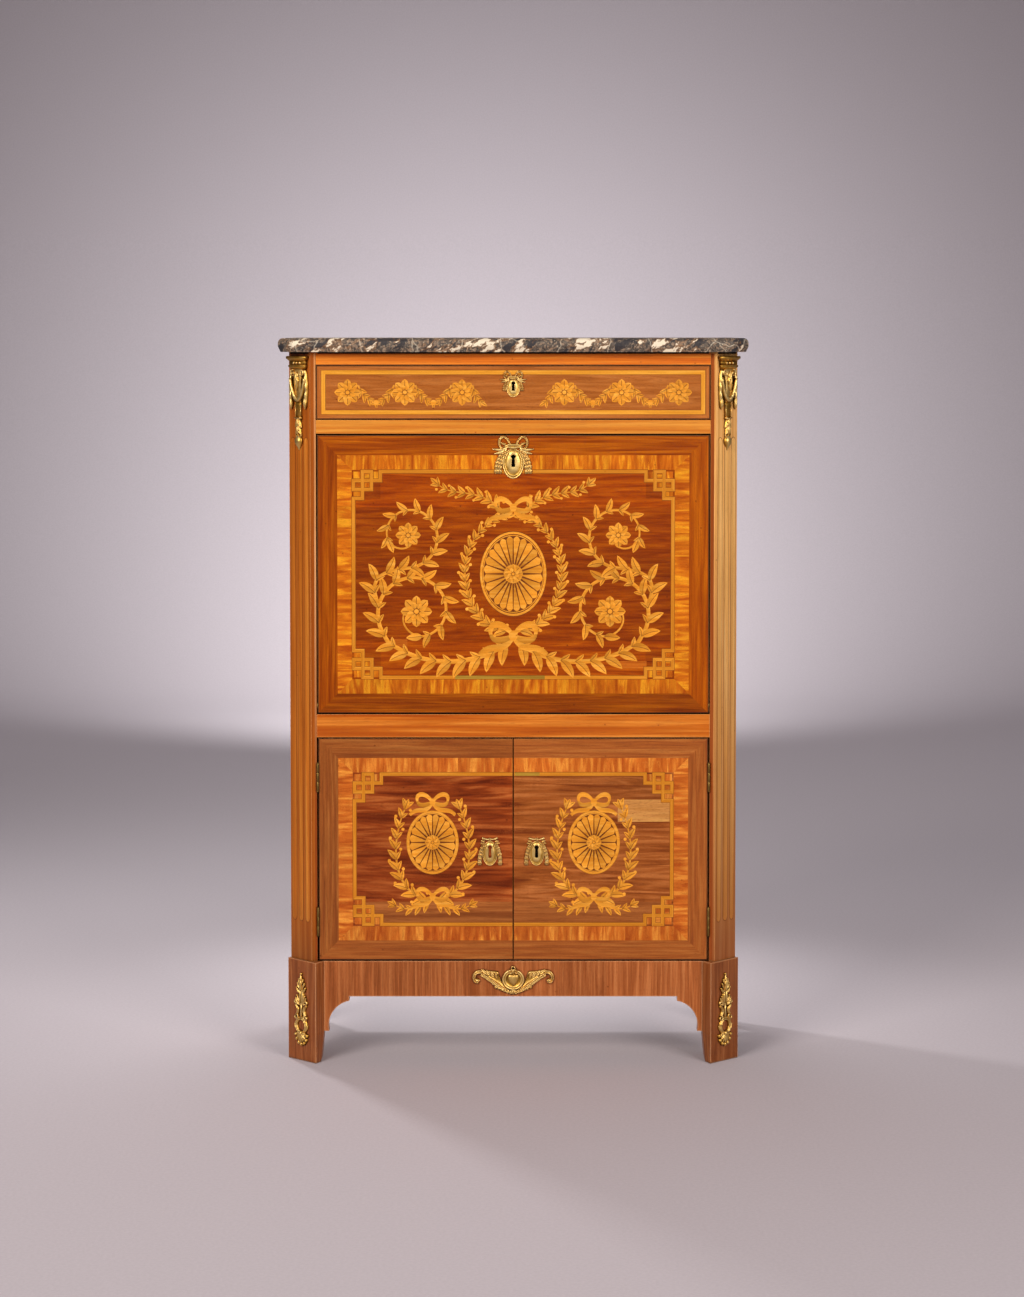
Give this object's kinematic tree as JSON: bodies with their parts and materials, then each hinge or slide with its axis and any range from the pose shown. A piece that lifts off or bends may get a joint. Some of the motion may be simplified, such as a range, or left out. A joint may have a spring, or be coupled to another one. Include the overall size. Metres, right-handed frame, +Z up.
{
  "type": "drop front secretary",
  "caption": "Neoclassical drop front secretary: marble top, frieze drawer, fall front writing desk, cupboard doors, canted corner posts and gilt bronze mounts.",
  "frame": {"origin": "on the floor under the middle of the marble top", "axes": "+X to the right seen from the front, +Y to the back, +Z up"},
  "size_m": [0.92, 0.4, 1.43],
  "materials": {
    "breccia_marble": "polished dark grey breccia with cream veins",
    "tulipwood_veneer": "French polished tulipwood and amaranth marquetry veneer",
    "oak_carcass": "planed and aged oak",
    "walnut_fitment": "waxed walnut",
    "gilt_bronze": "chased and fire gilt bronze, worn",
    "aged_brass": "filed brass, darkened",
    "bright_iron": "filed iron, oiled",
    "tooled_leather": "waxed leather with a blind tooled edge"
  },
  "bodies": {
    "carcass": {"apron_mount": "gilt_bronze", "back_panels": "oak_carcass", "bottom_board": "oak_carcass", "cupboard_shelf": "oak_carcass", "desk_floor": "oak_carcass", "desk_floor_bearers": "oak_carcass", "drawer_rail": "tulipwood_veneer", "drawer_stops": "oak_carcass", "dust_board": "oak_carcass", "fall_stop": "oak_carcass", "front_apron": "tulipwood_veneer", "hinge_pins": "aged_brass", "inner_sides": "oak_carcass", "left_corner_mount": "gilt_bronze", "left_foot_mount": "gilt_bronze", "left_front_foot": "tulipwood_veneer", "left_front_post": "tulipwood_veneer", "left_side_panel": "tulipwood_veneer", "marble_top": "breccia_marble", "middle_rail": "tulipwood_veneer", "pigeonholes": "walnut_fitment", "post_hinge_leaves": "aged_brass", "quadrant_guides": "aged_brass", "rear_posts": "oak_carcass", "right_corner_mount": "gilt_bronze", "right_foot_mount": "gilt_bronze", "right_front_foot": "tulipwood_veneer", "right_front_post": "tulipwood_veneer", "right_side_panel": "tulipwood_veneer", "side_aprons": "tulipwood_veneer", "top_board": "oak_carcass", "top_rail": "tulipwood_veneer"},
    "frieze_drawer": {"drawer_front": "tulipwood_veneer", "drawer_sides": "oak_carcass", "drawer_back": "oak_carcass", "drawer_bottom": "oak_carcass", "drawer_lock": "bright_iron", "drawer_escutcheon": "gilt_bronze"},
    "drawer_bolt": {"drawer_bolt": "bright_iron"},
    "fall": {"fall_panel": "tulipwood_veneer", "writing_leather": "tooled_leather", "fall_pivots": "bright_iron", "quadrant_stays": "aged_brass", "fall_lock": "bright_iron", "fall_escutcheon": "gilt_bronze"},
    "fall_bolt": {"fall_bolt": "bright_iron"},
    "left_door": {"left_door_panel": "tulipwood_veneer", "left_door_leaves": "aged_brass", "left_door_escutcheon": "gilt_bronze", "bolt_guide": "bright_iron"},
    "left_door_bolt": {"left_door_bolt": "bright_iron"},
    "right_door": {"right_door_panel": "tulipwood_veneer", "right_door_leaves": "aged_brass", "right_door_escutcheon": "gilt_bronze", "right_door_lock": "bright_iron"},
    "right_door_bolt": {"right_door_bolt": "bright_iron"},
    "left_inner_drawer": {"left_inner_drawer": "walnut_fitment"},
    "centre_inner_drawer": {"centre_inner_drawer": "walnut_fitment"},
    "right_inner_drawer": {"right_inner_drawer": "walnut_fitment"}
  },
  "joints": [
    {"name": "frieze_drawer_slide", "type": "slide", "parent": "carcass", "child": "frieze_drawer", "axis": [0, -1, 0], "range_m": [0, 0.24]},
    {"name": "drawer_bolt_slide", "type": "slide", "parent": "frieze_drawer", "child": "drawer_bolt", "axis": [0, 0, 1], "range_m": [0, 0.009]},
    {"name": "fall_hinge", "type": "hinge", "parent": "carcass", "child": "fall", "pos_m": [0, -0.162, 0.708], "axis": [1, 0, 0], "range_deg": [0, 90]},
    {"name": "fall_bolt_slide", "type": "slide", "parent": "fall", "child": "fall_bolt", "axis": [0, 0, 1], "range_m": [0, 0.009]},
    {"name": "left_door_hinge", "type": "hinge", "parent": "carcass", "child": "left_door", "pos_m": [-0.385, -0.1728, 0.42325], "axis": [0, 0, -1], "range_deg": [0, 110]},
    {"name": "left_door_bolt_slide", "type": "slide", "parent": "left_door", "child": "left_door_bolt", "axis": [0, 0, 1], "range_m": [0, 0.012]},
    {"name": "right_door_hinge", "type": "hinge", "parent": "carcass", "child": "right_door", "pos_m": [0.385, -0.1728, 0.42325], "axis": [0, 0, 1], "range_deg": [0, 110]},
    {"name": "right_door_bolt_slide", "type": "slide", "parent": "right_door", "child": "right_door_bolt", "axis": [-1, 0, 0], "range_m": [0, 0.009]},
    {"name": "left_inner_drawer_slide", "type": "slide", "parent": "carcass", "child": "left_inner_drawer", "axis": [0, -1, 0], "range_m": [0, 0.12]},
    {"name": "centre_inner_drawer_slide", "type": "slide", "parent": "carcass", "child": "centre_inner_drawer", "axis": [0, -1, 0], "range_m": [0, 0.12]},
    {"name": "right_inner_drawer_slide", "type": "slide", "parent": "carcass", "child": "right_inner_drawer", "axis": [0, -1, 0], "range_m": [0, 0.12]}
  ]
}
